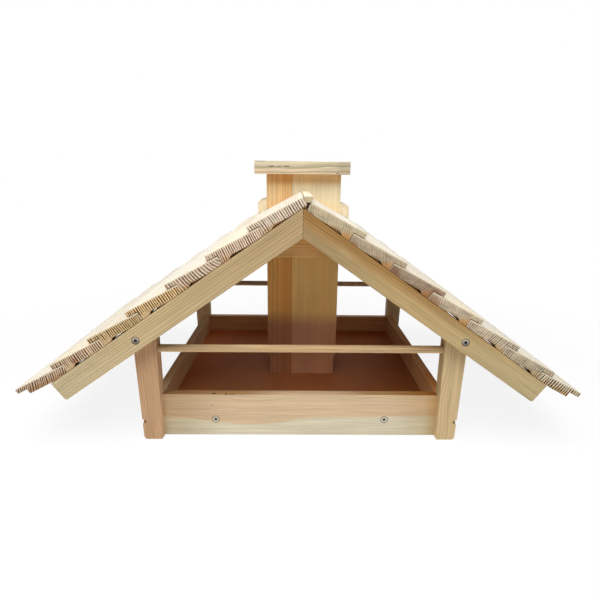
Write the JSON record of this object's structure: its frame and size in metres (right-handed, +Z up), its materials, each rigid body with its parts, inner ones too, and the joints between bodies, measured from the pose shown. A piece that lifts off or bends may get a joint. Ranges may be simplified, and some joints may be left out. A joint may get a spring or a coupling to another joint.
{
  "type": "bird table",
  "caption": "Wooden bird table: a seed tray between posts with perches, a gable roof of lapped boards, and a square seed silo through the ridge closed by a lift-off lid.",
  "frame": {"origin": "middle of the four feet, on the surface that the table stands on", "axes": "+X across the gable to the viewer's right, +Y from the front gable to the back gable, +Z up"},
  "size_m": [0.7158, 0.418, 0.3633],
  "materials": {
    "post_pine": "planed, unfinished",
    "tray_pine": "planed, unfinished",
    "tray_ply": "smooth brown film",
    "perch_wood": "smooth turned rod",
    "rafter_pine": "planed, unfinished",
    "gusset_pine": "planed, unfinished",
    "roof_pine": "planed, unfinished",
    "silo_pine": "planed, unfinished",
    "trim_pine": "planed, unfinished",
    "lid_pine": "planed, unfinished",
    "screw_steel": "bright zinc plate"
  },
  "bodies": {
    "table": {"post_front_left": "post_pine", "post_front_right": "post_pine", "post_back_left": "post_pine", "post_back_right": "post_pine", "tray_board_front": "tray_pine", "tray_board_back": "tray_pine", "tray_board_left": "tray_pine", "tray_board_right": "tray_pine", "tray_floor": "tray_ply", "perch_front": "perch_wood", "perch_back": "perch_wood", "rafter_front_left": "rafter_pine", "rafter_front_right": "rafter_pine", "rafter_back_left": "rafter_pine", "rafter_back_right": "rafter_pine", "gusset_front": "gusset_pine", "gusset_back": "gusset_pine", "roof_board_left_1": "roof_pine", "roof_board_left_2": "roof_pine", "roof_board_left_3": "roof_pine", "roof_board_left_4": "roof_pine", "roof_board_left_5": "roof_pine", "roof_board_left_6": "roof_pine", "roof_board_left_7": "roof_pine", "roof_board_right_1": "roof_pine", "roof_board_right_2": "roof_pine", "roof_board_right_3": "roof_pine", "roof_board_right_4": "roof_pine", "roof_board_right_5": "roof_pine", "roof_board_right_6": "roof_pine", "roof_board_right_7": "roof_pine", "silo_panel_front": "silo_pine", "silo_panel_back": "silo_pine", "silo_panel_left": "silo_pine", "silo_panel_right": "silo_pine", "roof_trim_left": "trim_pine", "roof_trim_right": "trim_pine", "ridge_strip_front": "trim_pine", "ridge_strip_back": "trim_pine", "tray_screw_front_left": "screw_steel", "tray_screw_front_right": "screw_steel", "tray_screw_back_left": "screw_steel", "tray_screw_back_right": "screw_steel", "rafter_screw_front_left": "screw_steel", "rafter_screw_front_right": "screw_steel", "rafter_screw_back_left": "screw_steel", "rafter_screw_back_right": "screw_steel", "post_screw_front_left": "screw_steel", "post_screw_front_right": "screw_steel", "post_screw_back_left": "screw_steel", "post_screw_back_right": "screw_steel"},
    "lid": {"lid": "lid_pine", "lid_block": "lid_pine"}
  },
  "joints": [
    {"name": "lid_lift", "type": "slide", "parent": "table", "child": "lid", "axis": [0, 0, 1], "range_m": [0, 0.12]}
  ]
}
